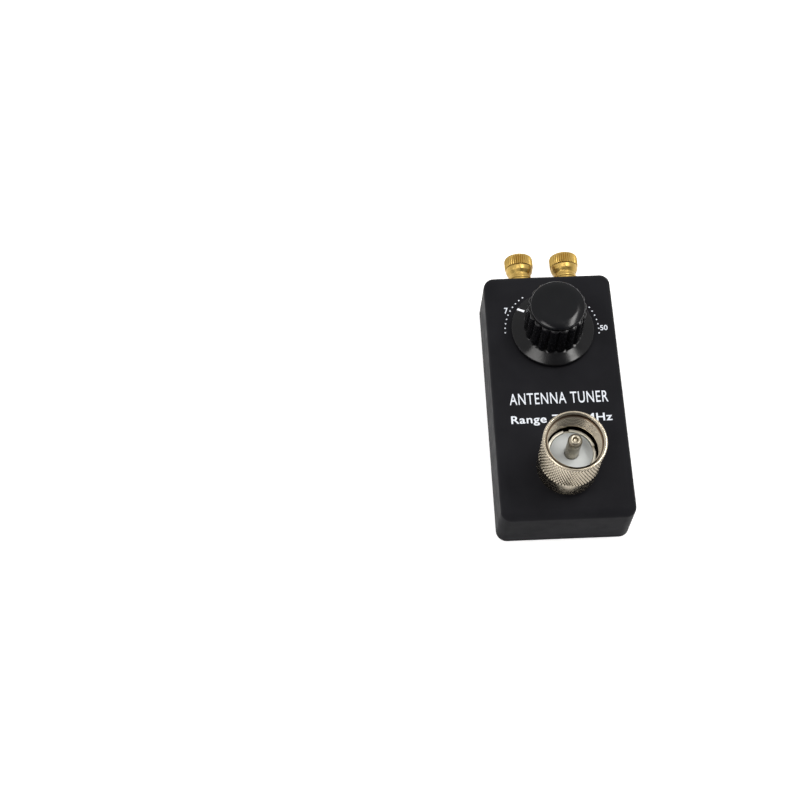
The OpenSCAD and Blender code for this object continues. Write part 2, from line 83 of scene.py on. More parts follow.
CAMERA_PLACE = Vector((-0.05326, -0.15859, 0.37773))
CAMERA_AZIMUTH = math.radians(-2.183)
CAMERA_ELEVATION = math.radians(66.221)
CAMERA_ROLL = math.radians(-0.257)
CAMERA_LENS = 59.107
CAMERA_SENSOR = 36


def make_camera():
    data = bpy.data.cameras.new("camera")
    data.lens = CAMERA_LENS
    data.sensor_width = CAMERA_SENSOR
    data.clip_start = 0.01
    data.clip_end = 50
    camera = bpy.data.objects.new("camera", data)
    scene.collection.objects.link(camera)
    forward = Vector((-math.sin(CAMERA_AZIMUTH) * math.cos(CAMERA_ELEVATION),
                      math.cos(CAMERA_AZIMUTH) * math.cos(CAMERA_ELEVATION),
                      -math.sin(CAMERA_ELEVATION)))
    level = Vector((math.cos(CAMERA_AZIMUTH), math.sin(CAMERA_AZIMUTH), 0))
    upright = level.cross(forward)
    right = math.cos(CAMERA_ROLL) * level + math.sin(CAMERA_ROLL) * upright
    up = right.cross(forward)
    turn = Matrix((right, up, -forward)).transposed()
    camera.matrix_world = Matrix.Translation(CAMERA_PLACE) @ turn.to_4x4()
    scene.camera = camera


# ---- Light and floor ----

FLOOR_SIZE = 12
FLOOR_GLOW = 0.26
ROOM_STRENGTH = 1.12
ROOM_WHITE = (1, 1, 1)
ROOM_DARK = (0.2, 0.2, 0.21)

# Where the room is dark: a direction, and the cosines between which the dark sets in
DARK_SIDE = (0, -0.87, 0.5)
DARK_SIDE_EDGE = (0.25, 0.8)
ABOVE = (0, 0, 1)
ABOVE_HORIZON_EDGE = (0.1, 0.3)

# Softboxes: direction from the origin, size across and towards the zenith, power
LIGHT_DISTANCE = 1.0
LAMP_COLOUR = (1.0, 0.985, 0.965)
SOFTBOXES = {
    "softbox_left": ((-0.27, -0.17, 0.95), (0.36, 0.30), 3.2),
    "softbox_right": ((0.38, 0.10, 0.92), (0.56, 0.13), 4.6),
    "window_left": ((-0.68, -0.33, 0.65), (0.60, 0.12), 1.8),
}


def make_softbox(name, direction, size, power):
    data = bpy.data.lights.new(name, "AREA")
    data.shape = "RECTANGLE"
    data.size, data.size_y = size
    data.energy = power
    data.color = LAMP_COLOUR
    light = bpy.data.objects.new(name, data)
    aim = Vector(direction).normalized()
    light.location = aim * LIGHT_DISTANCE
    light.rotation_mode = "QUATERNION"
    light.rotation_quaternion = aim.to_track_quat("Z", "Y")
    scene.collection.objects.link(light)


def make_world():
    """A white room that is dark high up on the camera's side"""
    world = bpy.data.worlds.new("studio")
    world.use_nodes = True
    scene.world = world
    nodes, links = world.node_tree.nodes, world.node_tree.links
    place = nodes.new("ShaderNodeTexCoord").outputs["Generated"]

    def part_along(direction, edge):
        """0 to 1 as the way looked in turns towards a direction, between the two cosines of its edge"""
        facing = nodes.new("ShaderNodeVectorMath")
        facing.operation = "DOT_PRODUCT"
        facing.inputs[1].default_value = Vector(direction).normalized()
        links.new(place, facing.inputs[0])
        span = nodes.new("ShaderNodeMapRange")
        span.interpolation_type = "SMOOTHSTEP"
        span.inputs["From Min"].default_value, span.inputs["From Max"].default_value = edge
        links.new(facing.outputs["Value"], span.inputs["Value"])
        return span.outputs["Result"]

    shade = nodes.new("ShaderNodeMath")
    shade.operation = "MULTIPLY"
    links.new(part_along(DARK_SIDE, DARK_SIDE_EDGE), shade.inputs[0])
    links.new(part_along(ABOVE, ABOVE_HORIZON_EDGE), shade.inputs[1])
    room = nodes.new("ShaderNodeMix")
    room.data_type = "RGBA"
    room.inputs["A"].default_value = (*ROOM_WHITE, 1)
    room.inputs["B"].default_value = (*ROOM_DARK, 1)
    links.new(shade.outputs["Value"], room.inputs["Factor"])
    links.new(room.outputs["Result"], nodes["Background"].inputs["Color"])
    nodes["Background"].inputs["Strength"].default_value = ROOM_STRENGTH


def make_floor():
    """Pale paper under the object, which glows a little so that it stays white"""
    data = bpy.data.meshes.new("floor")
    reach = FLOOR_SIZE / 2
    corners = [(-reach, -reach, 0), (reach, -reach, 0), (reach, reach, 0), (-reach, reach, 0)]
    data.from_pydata(corners, [], [(0, 1, 2, 3)])
    floor = bpy.data.objects.new("floor", data)
    finish = Finish("floor_paper", **{"Roughness": 0.9, "Specular IOR Level": 0.2,
                                      "Emission Color": (1, 1, 1, 1), "Emission Strength": FLOOR_GLOW})
    finish.colour(finish.noise(40, detail=3), (0.93, 0.93, 0.93), (0.96, 0.96, 0.96))
    data.materials.append(finish.material)
    scene.collection.objects.link(floor)


# ---- Materials ----

# Noise values at which a ramp over noise starts and ends
NOISE_LOW = 0.3
NOISE_HIGH = 0.7


class Finish:
    """A material whose colour, roughness and relief are built from nodes"""

    def __init__(self, name, **constants):
        self.material = bpy.data.materials.new(name)
        self.material.use_nodes = True
        self.nodes = self.material.node_tree.nodes
        self.links = self.material.node_tree.links
        self.shader = self.nodes["Principled BSDF"]
        for socket, value in constants.items():
            self.shader.inputs[socket].default_value = value
        self.place = self.nodes.new("ShaderNodeTexCoord").outputs["Object"]

    def turned(self, centre, axis):
        """Coordinates (distance from the axis, distance along it), so that noise on them makes rings"""
        move = self.nodes.new("ShaderNodeVectorMath")
        move.operation = "SUBTRACT"
        move.inputs[1].default_value = centre
        self.links.new(self.place, move.inputs[0])
        across = self.nodes.new("ShaderNodeVectorMath")
        across.operation = "MULTIPLY"
        across.inputs[1].default_value = (1, 1, 0) if axis == "Z" else (1, 0, 1)
        self.links.new(move.outputs["Vector"], across.inputs[0])
        reach = self.nodes.new("ShaderNodeVectorMath")
        reach.operation = "LENGTH"
        self.links.new(across.outputs["Vector"], reach.inputs[0])
        split = self.nodes.new("ShaderNodeSeparateXYZ")
        self.links.new(move.outputs["Vector"], split.inputs[0])
        join = self.nodes.new("ShaderNodeCombineXYZ")
        self.links.new(reach.outputs["Value"], join.inputs["X"])
        self.links.new(split.outputs[axis], join.inputs["Y"])
        return join.outputs["Vector"]

    def noise(self, scale, detail=2.0, rough=0.5, place=None, stretch=(1, 1, 1)):
        """Noise whose features are about 1 / scale metres across"""
        fit = self.nodes.new("ShaderNodeMapping")
        fit.inputs["Scale"].default_value = [scale * s for s in stretch]
        self.links.new(place or self.place, fit.inputs["Vector"])
        texture = self.nodes.new("ShaderNodeTexNoise")
        texture.inputs["Scale"].default_value = 1
        texture.inputs["Detail"].default_value = detail
        texture.inputs["Roughness"].default_value = rough
        self.links.new(fit.outputs["Vector"], texture.inputs["Vector"])
        return texture.outputs["Fac"]

    def colour(self, factor, dark, light):
        """Runs the colour from dark to light over a noise"""
        ramp = self.nodes.new("ShaderNodeValToRGB")
        ramp.color_ramp.elements[0].position = NOISE_LOW
        ramp.color_ramp.elements[0].color = (*dark, 1)
        ramp.color_ramp.elements[1].position = NOISE_HIGH
        ramp.color_ramp.elements[1].color = (*light, 1)
        self.links.new(factor, ramp.inputs["Fac"])
        self.links.new(ramp.outputs["Color"], self.shader.inputs["Base Color"])

    def shade_by_ramp(self, factor, stops):
        """Multiplies the colour by a ramp of tints over a factor, which paints shade. A stop is (place on the
        ramp, tint)
        """
        ramp = self.nodes.new("ShaderNodeValToRGB")
        while len(ramp.color_ramp.elements) < len(stops):
            ramp.color_ramp.elements.new(0.5)
        for element, (place, tint) in zip(ramp.color_ramp.elements, stops):
            element.position = place
            element.color = (*tint, 1)
        self.links.new(factor, ramp.inputs["Fac"])
        shade_mix = self.nodes.new("ShaderNodeMix")
        shade_mix.data_type = "RGBA"
        shade_mix.blend_type = "MULTIPLY"
        shade_mix.inputs["Factor"].default_value = 1.0
        base = self.shader.inputs["Base Color"]
        self.links.new(base.links[0].from_socket, shade_mix.inputs["A"])
        self.links.new(ramp.outputs["Color"], shade_mix.inputs["B"])
        self.links.new(shade_mix.outputs["Result"], base)

    def roughness(self, factor, smooth, rough):
        """Runs the roughness from smooth to rough over a noise"""
        span = self.nodes.new("ShaderNodeMapRange")
        span.inputs["From Min"].default_value = NOISE_LOW
        span.inputs["From Max"].default_value = NOISE_HIGH
        span.inputs["To Min"].default_value = smooth
        span.inputs["To Max"].default_value = rough
        self.links.new(factor, span.inputs["Value"])
        self.links.new(span.outputs["Result"], self.shader.inputs["Roughness"])

    def relief(self, factor, depth):
        """Bumps depth metres deep"""
        bump = self.nodes.new("ShaderNodeBump")
        bump.inputs["Strength"].default_value = 1.0
        bump.inputs["Distance"].default_value = depth
        self.links.new(factor, bump.inputs["Height"])
        self.links.new(bump.outputs["Normal"], self.shader.inputs["Normal"])


def tinted(colour, share):
    return tuple(c * share for c in colour)


# Noise scales, in features per metre
PLATING_CLOUDS = 320
PLATING_WEAR = 900
TOOL_RINGS = 9000
FINE_RINGS = 2500

# Depths of relief
TOOL_RING_DEPTH = 4 * MICRON
FINE_RING_DEPTH = 0.3 * MICRON


def moulded(name, colour, rough, grain=0.12 * MM, depth=6 * MICRON, **constants):
    """Moulded plastic: fine spark-eroded grain, faint clouds of colour and handling marks"""
    finish = Finish(name, **constants)
    clouds = finish.noise(90, detail=4)
    finish.colour(clouds, tinted(colour, 0.86), tinted(colour, 1.14))
    finish.roughness(finish.noise(260, detail=5, rough=0.6), rough - 0.05, rough + 0.06)
    finish.relief(finish.noise(1 / grain, detail=2), depth)
    return finish.material


def turned_metal(name, colour, rough, centre, axis="Z", tarnish=0.82):
    """Turned and plated metal: fine tool rings and slightly tarnished clouds"""
    finish = Finish(name, Metallic=1.0)
    place = finish.turned(centre, axis)
    clouds = finish.noise(PLATING_CLOUDS, detail=4, rough=0.6)
    finish.colour(clouds, tinted(colour, tarnish), colour)
    finish.roughness(finish.noise(PLATING_WEAR, detail=3), rough * 0.75, rough * 1.35)
    finish.relief(finish.noise(TOOL_RINGS, detail=2, place=place), TOOL_RING_DEPTH)
    return finish.material


# Painted shade on the coupling ring's plating, as tints over its radius in centimetres: brown darkening
# painted on its floor and in the roots of its thread, none on the thread's crests and outside
SHADE_BROWN = (0.3, 0.22, 0.17)
HALF_SHADE_BROWN = (0.6, 0.5, 0.42)
UNSHADED = (1, 1, 1)
RING_PAINTED_SHADE = ((0.6, SHADE_BROWN), (0.725, HALF_SHADE_BROWN), (0.735, UNSHADED), (0.75, UNSHADED),
               (0.775, SHADE_BROWN), (0.797, SHADE_BROWN), (0.803, UNSHADED))


def knurled_nickel(name, colour, rough, centre):
    """Nickel plating, with brown painted shade on its floor and in the roots of its thread inside"""
    finish = Finish(name, Metallic=1.0)
    place = finish.turned(centre, "Z")
    reach = finish.nodes.new("ShaderNodeVectorMath")
    reach.operation = "SCALE"
    reach.inputs["Scale"].default_value = 1 / (10 * MM)
    finish.links.new(place, reach.inputs[0])
    split = finish.nodes.new("ShaderNodeSeparateXYZ")
    finish.links.new(reach.outputs["Vector"], split.inputs[0])
    finish.colour(finish.noise(PLATING_CLOUDS, detail=4, rough=0.6), tinted(colour, 0.86), colour)
    # Painted shade: brown darkening on the ring's floor and in its thread roots
    finish.shade_by_ramp(split.outputs["X"], RING_PAINTED_SHADE)
    finish.roughness(finish.noise(PLATING_WEAR, detail=3), rough * 0.8, rough * 1.3)
    finish.relief(finish.noise(FINE_RINGS, detail=2, place=place), FINE_RING_DEPTH)
    return finish.material


def rolled_metal(name, colour, rough):
    """Sheet or drawn metal with fine streaks along X"""
    finish = Finish(name, Metallic=1.0)
    finish.colour(finish.noise(400, detail=4), tinted(colour, 0.85), colour)
    streaks = finish.noise(5000, detail=2, stretch=(0.05, 1, 1))
    finish.roughness(streaks, rough * 0.8, rough * 1.3)
    finish.relief(streaks, 2 * MICRON)
    return finish.material


def printed_ink(name, colour):
    """Screen-printed ink: slightly uneven cover and a soft sheen"""
    finish = Finish(name, **{"Specular IOR Level": 0.4})
    finish.colour(finish.noise(2500, detail=3), tinted(colour, 0.88), colour)
    finish.roughness(finish.noise(1500), 0.45, 0.6)
    finish.relief(finish.noise(7000), 4 * MICRON)
    return finish.material


def fired_ferrite(name):
    """Dark sintered ferrite, matt and grainy"""
    finish = Finish(name)
    finish.colour(finish.noise(3000, detail=5), (0.035, 0.035, 0.04), (0.07, 0.07, 0.075))
    finish.roughness(finish.noise(1200), 0.55, 0.75)
    finish.relief(finish.noise(6000, detail=4), 10 * MICRON)
    return finish.material


def pressed_board(name):
    """Tan phenolic board with fibres along X"""
    finish = Finish(name)
    finish.colour(finish.noise(1400, detail=5, stretch=(1, 4, 1)), (0.42, 0.38, 0.26), (0.6, 0.55, 0.4))
    finish.roughness(finish.noise(800), 0.5, 0.7)
    finish.relief(finish.noise(4000, detail=3, stretch=(1, 4, 1)), 10 * MICRON)
    return finish.material


def enamelled(name, colour, rough=0.25):
    """Wire with a clear or coloured skin, faintly uneven along its length"""
    finish = Finish(name, **{"Coat Weight": 0.5, "Coat Roughness": 0.15})
    finish.colour(finish.noise(700, detail=3), tinted(colour, 0.8), colour)
    finish.roughness(finish.noise(1500), rough, rough + 0.15)
    finish.relief(finish.noise(2500), 5 * MICRON)
    return finish.material


BRASS = (0.46, 0.31, 0.09)
NICKEL = (0.43, 0.378, 0.292)

MATERIALS = {
    "case_black": moulded("case_black", (0.0115, 0.0115, 0.0131), 0.36, **{"Specular IOR Level": 0.006}),
    "cover_black": moulded("cover_black", (0.013, 0.013, 0.014), 0.45, **{"Specular IOR Level": 0.15}),
    "steel_screw": rolled_metal("steel_screw", (0.5, 0.5, 0.52), 0.3),
    "print_white": printed_ink("print_white", (0.62, 0.65, 0.7)),
    "knob_black": moulded("knob_black", (0.003, 0.003, 0.0035), 0.15, grain=0.3 * MM, depth=MICRON,
                          **{"Specular IOR Level": 0.2}),
    "cap_black": moulded("cap_black", (0.0015, 0.0017, 0.0025), 0.14, grain=0.3 * MM, depth=MICRON,
                         **{"Specular IOR Level": 0.17}),
    "brass": turned_metal("brass", BRASS, 0.26, KNOB),
    "black_steel": rolled_metal("black_steel", (0.09, 0.09, 0.095), 0.35),
    "pointer_white": printed_ink("pointer_white", (0.8, 0.82, 0.86)),
    "capacitor_plastic": moulded("capacitor_plastic", (0.6, 0.62, 0.58), 0.3),
    "capacitor_board": pressed_board("capacitor_board"),
    "plate_aluminium": rolled_metal("plate_aluminium", (0.7, 0.72, 0.74), 0.3),
    "tinned_brass": rolled_metal("tinned_brass", (0.72, 0.7, 0.64), 0.35),
    "nickel_body": turned_metal("nickel_body", (0.9, 0.86, 0.74), 0.5, PLUG),
    "nickel_ring": knurled_nickel("nickel_ring", NICKEL, 0.19, PLUG),
    "insulator": moulded("insulator", (0.5, 0.52, 0.51), 0.5, grain=0.2 * MM, depth=10 * MICRON),
    "silver_pin": turned_metal("silver_pin", (0.39, 0.35, 0.27), 0.3, PLUG, tarnish=0.55),
    "ferrite": fired_ferrite("ferrite"),
    "enamel_wire": enamelled("enamel_wire", (0.42, 0.13, 0.05)),
    "wire_red": enamelled("wire_red", (0.45, 0.02, 0.02), 0.35),
    "wire_black": enamelled("wire_black", (0.02, 0.02, 0.02), 0.35),
}


# ---- Mesh tools: shapes in millimetres about +Z ----

SMOOTH_ANGLE = math.radians(32)


def around(angle, reach, height=0.0):
    """The point at an angle round +Z, a reach away from it"""
    return reach * math.cos(angle), reach * math.sin(angle), height


def add_ring(shape, radius, height, steps, drop=None):
    """A ring of vertices; drop(angle) is how far the ring falls inside its radius there"""
    ring = []
    for k in range(steps):
        angle = TURN * k / steps
        reach = radius - (drop(angle) if drop else 0)
        ring.append(shape.verts.new(around(angle, reach, height)))
    return ring


def add_face(shape, corners):
    """A face, unless fewer than three of its corners differ"""
    corners = list(dict.fromkeys(corners))
    if len(corners) > 2:
        shape.faces.new(corners)


def bridge(shape, ring, other):
    """Joins two rings of as many vertices"""
    count = len(ring)
    for k in range(count):
        after = (k + 1) % count
        add_face(shape, (ring[k], ring[after], other[after], other[k]))


def bridge_all(shape, rings):
    for ring, other in zip(rings, rings[1:]):
        bridge(shape, ring, other)


def rounded(corners, closed=False, steps=5):
    """An outline's points, with each corner (x, y, radius) turned into an arc of that radius"""
    points = []
    for i, (x, y, radius) in enumerate(corners):
        here = Vector((x, y))
        if radius == 0 or (not closed and i in (0, len(corners) - 1)):
            points.append((x, y))
            continue
        back = (Vector(corners[i - 1][:2]) - here).normalized()
        ahead = (Vector(corners[(i + 1) % len(corners)][:2]) - here).normalized()
        half = back.angle(ahead) / 2
        centre = here + (back + ahead).normalized() * radius / math.sin(half)
        start = here + back * radius / math.tan(half) - centre
        sweep = math.pi - 2 * half
        side = 1 if back.cross(ahead) < 0 else -1
        for k in range(steps + 1):
            turn = side * sweep * k / steps
            points.append((centre.x + start.x * math.cos(turn) - start.y * math.sin(turn),
                           centre.y + start.x * math.sin(turn) + start.y * math.cos(turn)))
    return points


def lathe(profile, steps=96, closed=False, drop=None):
    """A turned shape. Each point of the profile is (radius, height) or (radius, height, share of the drop)"""
    shape = bmesh.new()
    rings = []
    for radius, height, *share in profile:
        if radius <= 0:
            rings.append([shape.verts.new((0, 0, height))] * steps)
            continue
        part = share[0] if share and drop else 0
        rings.append(add_ring(shape, radius, height, steps, (lambda a: part * drop(a)) if part else None))
    if closed:
        rings.append(rings[0])
    bridge_all(shape, rings)
    return shape


# A thread's form over one pitch: (place along the pitch, share of the depth)
THREAD_FORM = ((0, 0), (0.15, 0), (0.45, 1), (0.7, 1))


def add_thread(shape, lower, upper, root, crest, pitch, turns, foot):
    """A thread between two rings on its root cylinder. It rises a pitch a turn and fades at both ends"""
    steps = len(lower)
    last = steps * turns
    fade_steps = steps / 3
    spiral = []
    for s in range(last + steps + 1):
        angle = TURN * s / steps
        fade = max(0, min(1, s / fade_steps, (last - s) / fade_steps))
        row = []
        for along, share in THREAD_FORM if s <= last else THREAD_FORM[:1]:
            reach = root + (crest - root) * share * fade
            height = foot + pitch * (s / steps + along)
            row.append(shape.verts.new(around(angle, reach, height)))
        spiral.append(row)

    def column(s):
        return spiral[s] + [spiral[s + steps][0]]

    for s in range(last):
        here, after = column(s), column(s + 1)
        for q in range(len(THREAD_FORM)):
            add_face(shape, (here[q], after[q], after[q + 1], here[q + 1]))
    for k in range(steps):
        after = (k + 1) % steps
        bottom = [lower[k], lower[after], spiral[k + 1][0], spiral[k][0]]
        top = [spiral[last + k][0], spiral[last + k + 1][0], upper[after], upper[k]]
        if k == steps - 1:
            bottom[2:3] = column(0)
        if k == 0:
            top += reversed(column(last)[1:])
        add_face(shape, bottom)
        add_face(shape, top)


def merged(*shapes):
    """One shape holding several"""
    whole = shapes[0]
    for shape in shapes[1:]:
        part = bpy.data.meshes.new("part")
        shape.to_mesh(part)
        shape.free()
        whole.from_mesh(part)
        bpy.data.meshes.remove(part)
    return whole


def moved(shape, offset=(0, 0, 0), turn=0.0, axis="Z"):
    """The shape turned by some degrees about an axis through the origin, then moved"""
    matrix = Matrix.Translation(offset) @ Matrix.Rotation(math.radians(turn), 4, axis)
    bmesh.ops.transform(shape, matrix=matrix, verts=shape.verts)
    return shape


def block(size, at=(0, 0, 0)):
    """A box of some size, centred on a point"""
    shape = bmesh.new()
    bmesh.ops.create_cube(shape, size=1, matrix=Matrix.Translation(at) @ Matrix.Diagonal((*size, 1)))
    return shape


def finished_mesh(shape, name, smooth=SMOOTH_ANGLE):
    """The shape as a mesh, shaded smooth except on edges sharper than an angle"""
    mesh = bpy.data.meshes.new(name)
    bmesh.ops.recalc_face_normals(shape, faces=shape.faces)
    shape.to_mesh(mesh)
    shape.free()
    mesh.shade_smooth()
    mesh.set_sharp_from_angle(angle=smooth)
    return mesh


def fix_mesh(obj):
    """Applies the object's modifiers to its mesh"""
    tree = bpy.context.evaluated_depsgraph_get()
    mesh = bpy.data.meshes.new_from_object(obj.evaluated_get(tree))
    obj.modifiers.clear()
    obj.data = mesh


def cut(obj, cutter, smooth=SMOOTH_ANGLE):
    """Cuts a shape in millimetres out of an object whose mesh still is in millimetres"""
    tool = bpy.data.objects.new("cutter", finished_mesh(cutter, "cutter"))
    scene.collection.objects.link(tool)
    difference = obj.modifiers.new("cut", "BOOLEAN")
    difference.operation = "DIFFERENCE"
    difference.solver = "EXACT"
    difference.object = tool
    fix_mesh(obj)
    bpy.data.objects.remove(tool)
    obj.data.set_sharp_from_angle(angle=smooth)


ALONG_Y = Matrix.Rotation(math.radians(-90), 4, "X")


def settle(obj, body, slot, replaces=(), material=None):
    """Gives a piece its material and even shading, and lets it ride on a body in place of CAD nodes"""
    obj.data.materials.clear()
    obj.data.materials.append(material or MATERIALS[slot])
    shade = obj.modifiers.new("even_shading", "WEIGHTED_NORMAL")
    shade.keep_sharp = True
    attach(obj, body)
    if replaces:
        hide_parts(*replaces)


def make(name, shape, slot, body, at, replaces=(), material=None, cutter=None, along_y=False,
         smooth=SMOOTH_ANGLE):
    """Turns a shape into a piece of the object, in place, riding on a body"""
    obj = bpy.data.objects.new(name, finished_mesh(shape, name, smooth))
    scene.collection.objects.link(obj)
    if cutter is not None:
        cut(obj, cutter, smooth)
    place = Matrix.Translation(at) @ Matrix.Scale(MM, 4)
    if along_y:
        place = place @ ALONG_Y
    obj.data.transform(place)
    settle(obj, body, slot, replaces, material)


# Copies of CAD nodes: welding distance in metres, bends that count as flat, and edges that are eased
WELD_DISTANCE = 1e-6
FLAT_ANGLE = math.radians(0.5)
EASED_ANGLE = math.radians(40)


def refined(node, name, slot, body, bevel=0.0, smooth=SMOOTH_ANGLE):
    """A copy of a CAD node with its faces welded, its edges eased and its curves shaded smooth"""
    shape = bmesh.new()
    shape.from_mesh(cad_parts[node].data)
    bmesh.ops.remove_doubles(shape, verts=shape.verts, dist=WELD_DISTANCE)
    bmesh.ops.dissolve_limit(shape, angle_limit=FLAT_ANGLE, verts=shape.verts, edges=shape.edges)
    obj = bpy.data.objects.new(name, finished_mesh(shape, name, smooth))
    scene.collection.objects.link(obj)
    if bevel:
        ease = obj.modifiers.new("eased_edges", "BEVEL")
        ease.width = bevel * MM
        ease.segments = 2
        ease.limit_method = "ANGLE"
        ease.angle_limit = EASED_ANGLE
    settle(obj, body, slot, (node,))


# ---- Case ----

CASE_SMOOTH_ANGLE = math.radians(25)


def make_case():
    refined("case_shell", "case_body", "case_black", "case", smooth=CASE_SMOOTH_ANGLE)
    refined("base_cover", "cover_plate", "cover_black", "case", bevel=0.12)
    refined("cover_screws", "cover_fasteners", "steel_screw", "case", bevel=0.05)


# ---- Panel print ----

# Two arcs of dots: (angle of the first in degrees, how many)
DOT_ARCS = ((-5, 7), (124.5, 10))
DOT_STEP = 6.17
DIAL_RADIUS = 14.3
DOT_RADIUS = 0.23

# Thickness of the ink, and how near two points of a letter are one, in millimetres
INK = 0.02
LETTER_WELD = 1e-4


def make_dots():
    profile = [(0, 0), (DOT_RADIUS, 0), (DOT_RADIUS, INK * 0.6), (DOT_RADIUS * 0.85, INK), (0, INK)]
    dots = []
    for start, count in DOT_ARCS:
        for i in range(count):
            angle = math.radians(start + DOT_STEP * i)
            dots.append(moved(lathe(profile, 16), around(angle, DIAL_RADIUS)))
    make("dial_dots", merged(*dots), "print_white", "case", KNOB, replaces=("dial_print",))


def lettering(name, words, centre, width, height, weight=0.0, spacing=1.0):
    """Flat lettering whose box is width by height millimetres about centre on the panel"""
    data = bpy.data.curves.new(name, "FONT")
    data.body = words
    data.size = height
    data.extrude = INK / 2
    data.offset = weight
    data.space_character = spacing
    source = bpy.data.objects.new(name, data)
    scene.collection.objects.link(source)
    mesh = bpy.data.meshes.new_from_object(source.evaluated_get(bpy.context.evaluated_depsgraph_get()))
    bpy.data.objects.remove(source)
    shape = bmesh.new()
    shape.from_mesh(mesh)
    bpy.data.meshes.remove(mesh)
    bmesh.ops.remove_doubles(shape, verts=shape.verts, dist=LETTER_WELD)
    xs = [v.co.x for v in shape.verts]
    ys = [v.co.y for v in shape.verts]
    fit = Matrix.Diagonal((width / (max(xs) - min(xs)), height / (max(ys) - min(ys)), 1, 1))
    home = Matrix.Translation((-(min(xs) + max(xs)) / 2, -(min(ys) + max(ys)) / 2, INK / 2))
    bmesh.ops.transform(shape, matrix=fit @ home, verts=shape.verts)
    make(name, shape, "print_white", "case", Vector((centre[0] * MM, centre[1] * MM, PANEL_Z)))


# Generic words and numerals: name, words, and how lettering() draws them
WORDS = (
    ("dial_low", "7", dict(centre=(-13.5, 27.4), width=1.15, height=2.0, weight=0.03)),
    ("dial_high", "50", dict(centre=(15.85, 20.35), width=2.3, height=1.75, weight=0.03)),
    ("panel_title", "ANTENNA TUNER",
     dict(centre=(0, -2.4), width=29.4, height=3.7, weight=0.01, spacing=1.1)),
    ("panel_range", "Range 7-50 MHz",
     dict(centre=(0.3, -9.4), width=30, height=3.3, weight=0.05, spacing=1.08)),
)


def make_print():
    make_dots()
    for name, words, form in WORDS:
        lettering(name, words, **form)


# ---- Tuning knob ----

LOBES = 18
LOBE_RADIUS = 1.55
GRIP_RADIUS = 8.7
SKIRT_RADIUS = 12.5
SKIRT_RIM_TOP = 1.9
SKIRT_INNER_RADIUS = 9.25
SKIRT_TOP = 3
SET_SCREW_Z = 7
SET_SCREW_HOLE = 1.55
CAP_RADIUS = 8
CAP_TOP = 17.3


def lobe_drop(angle):
    """How far the grip's outline falls inside its crests at an angle"""
    share = TURN / LOBES
    off = (angle + share / 2) % share - share / 2
    centre = GRIP_RADIUS - LOBE_RADIUS
    return GRIP_RADIUS - centre * math.cos(off) - math.sqrt(LOBE_RADIUS ** 2 - (centre * math.sin(off)) ** 2)


def make_knob():
    """From the bush's hole down, under the skirt, round its rim and up the grip to the cap's seat.
    The grip's points end with their share of the flutes' depth"""
    skirt = rounded([(0, 13.03, 0), (4.23, 13.03, 0), (4.23, 1.9, 0), (6, 1.9, 0), (10.6, 1.4, 0.3),
                     (10.6, 0.6, 0), (SKIRT_RADIUS, 0.6, 0.15), (SKIRT_RADIUS, SKIRT_RIM_TOP, 0.35),
                     (SKIRT_INNER_RADIUS, SKIRT_TOP, 0)])
    grip = [(9.1, 3.02, 0.2), (8.98, 3.15, 0.7), (8.95, 3.4, 1), (8.68, 15.0, 1), (8.66, 15.3, 1),
            (8.56, 15.48, 1), (8.4, 15.58, 1), (7.6, 15.6, 0.3), (7.2, 15.6), (3.1, 15.6), (3.1, 14), (0, 14)]
    screw = middle("knob_set_screw") - KNOB
    hole = lathe([(0, 3), (SET_SCREW_HOLE, 3), (SET_SCREW_HOLE, 12), (0, 12)], 32)
    hole = moved(hole, turn=90, axis="Y")
    hole = moved(hole, offset=(0, 0, SET_SCREW_Z))
    hole = moved(hole, turn=math.degrees(math.atan2(screw.y, screw.x)))
    make("knob_moulding", lathe(skirt + grip, LOBES * 14, drop=lobe_drop), "knob_black", "tuning", KNOB,
         replaces=("knob_body",), cutter=hole)


def make_knob_cap():
    """A plug that presses into the grip, and the disc on it with its domed edge"""
    dome = rounded([(0, 14.15, 0), (2.95, 14.15, 0.2), (2.95, 15.66, 0), (7.2, 15.66, 0), (7.2, 16, 0),
                    (CAP_RADIUS, 16, 0.15), (CAP_RADIUS, CAP_TOP - 0.58, 0.45),
                    (CAP_RADIUS - 1.6, CAP_TOP, 7), (0, CAP_TOP, 0)], steps=10)
    make("knob_disc", lathe(dome, 128), "cap_black", "tuning", KNOB, replaces=("knob_cap",))


POINTER_INNER = 10.0
POINTER_OUTER = 12.35
POINTER_WIDTH = 0.75
POINTER_DEPTH = 0.2
POINTER_SINK = 0.07
POINTER_EDGE = 0.06
POINTER_SLOPE = math.atan2(1.05, 3.05)


def make_pointer():
    """The pointer's white filling, level with the skirt's slope"""
    mark = middle("pointer_mark") - KNOB
    length = (POINTER_OUTER - POINTER_INNER) / math.cos(POINTER_SLOPE)
    bar = block((length, POINTER_WIDTH, POINTER_DEPTH))
    bmesh.ops.bevel(bar, geom=bar.edges[:], offset=POINTER_EDGE, segments=2, affect="EDGES", profile=0.5)
    bar = moved(bar, turn=math.degrees(POINTER_SLOPE), axis="Y")
    reach = (POINTER_INNER + POINTER_OUTER) / 2
    rise = SKIRT_RIM_TOP + (SKIRT_RADIUS - reach) * math.tan(POINTER_SLOPE) - POINTER_SINK
    bar = moved(bar, offset=(reach, 0, rise))
    make("pointer_line", moved(bar, turn=math.degrees(math.atan2(mark.y, mark.x))), "pointer_white",
         "tuning", KNOB, replaces=("pointer_mark",))


# ---- UHF plug ----

RING_TOP = (high("coupling_ring").z - PANEL_Z) / MM
RING_RADIUS = 9.0
RING_FOOT = 1.8
RING_BORE = 6.08
RING_FLOOR = 4.4
RING_SMOOTH_ANGLE = math.radians(22)

